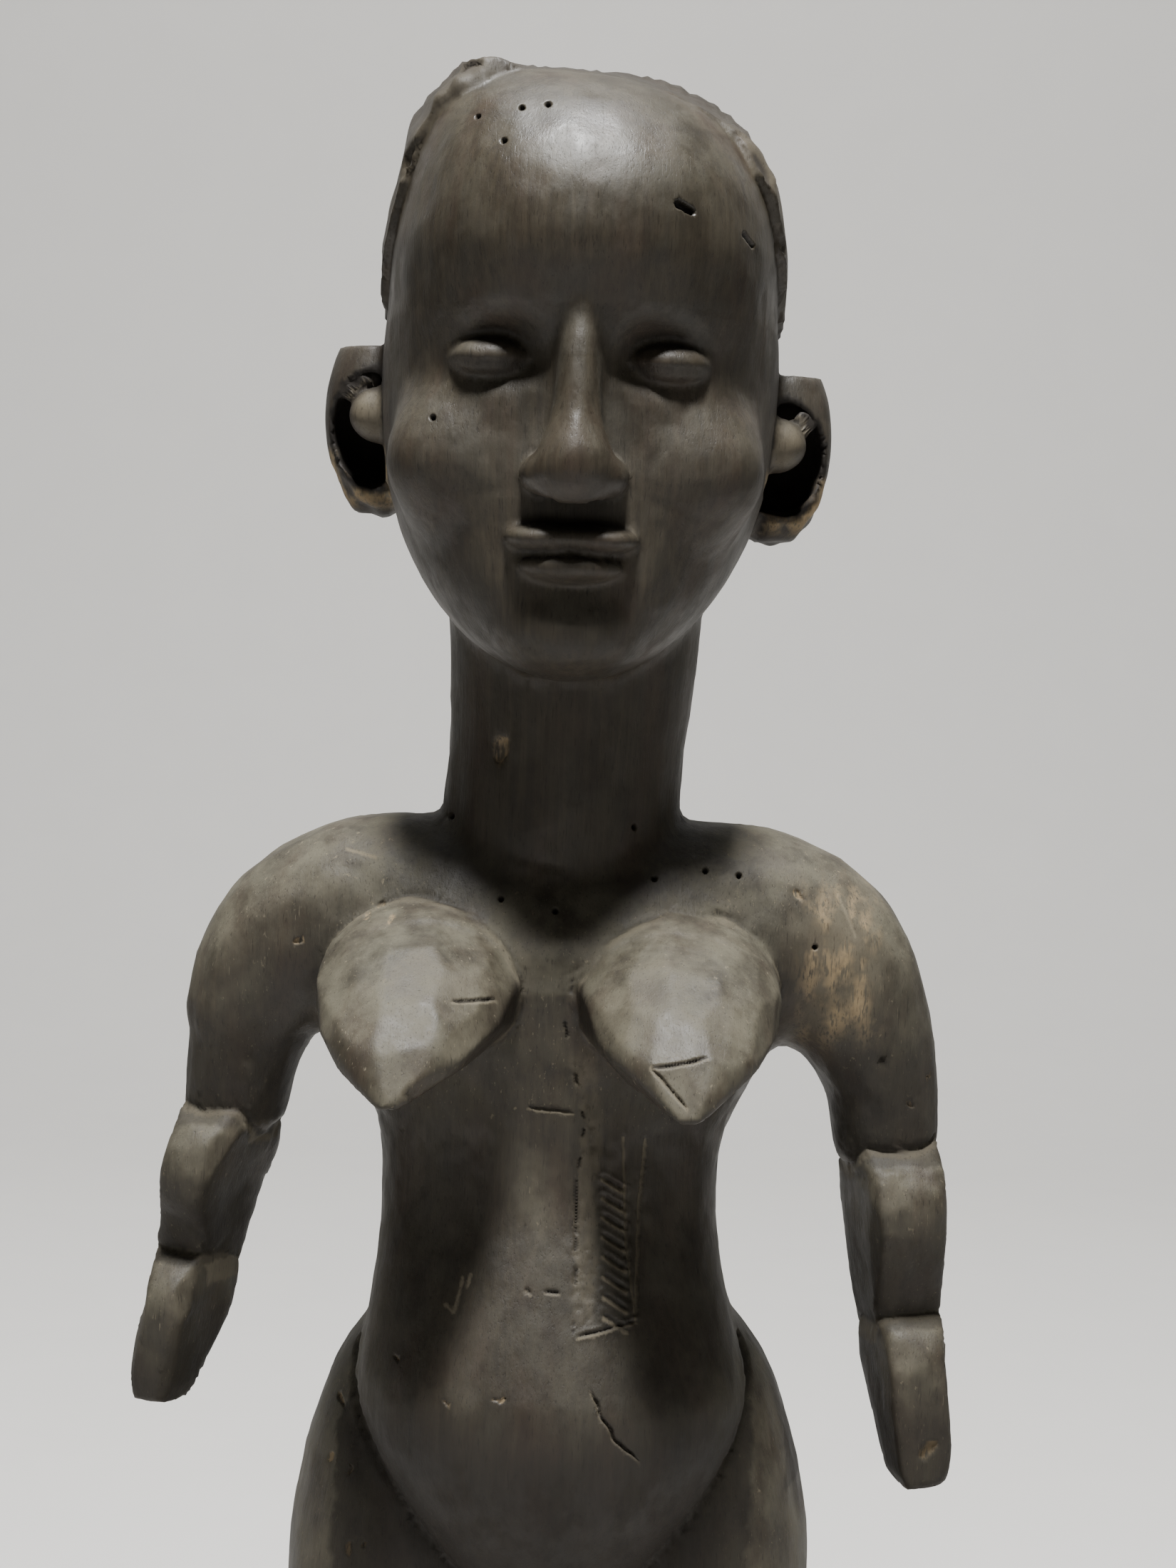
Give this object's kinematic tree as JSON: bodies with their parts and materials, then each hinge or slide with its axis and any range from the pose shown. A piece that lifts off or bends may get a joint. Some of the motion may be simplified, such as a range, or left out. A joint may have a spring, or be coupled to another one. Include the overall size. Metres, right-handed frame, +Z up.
{
  "type": "female ancestor figure",
  "caption": "Standing figure of a woman carved in dark wood, with a tall rounded head, close hair cap, cupped ears, slim arms held clear of the body, a full belly and a low oval base",
  "frame": {"origin": "on the underside of the base, under the neck, at the middle of the figure's width", "axes": "+Z up through the head, the figure faces -Y, its left arm is at +X"},
  "size_m": [0.2247, 0.1456, 0.6159],
  "materials": {
    "dark_wood": "dark brown hardwood, hand carved with knife facets, satin polish where handled and a dull grey-brown bloom in the hollows"
  },
  "bodies": {
    "root": {"carved_figure": "dark_wood"}
  },
  "joints": []
}
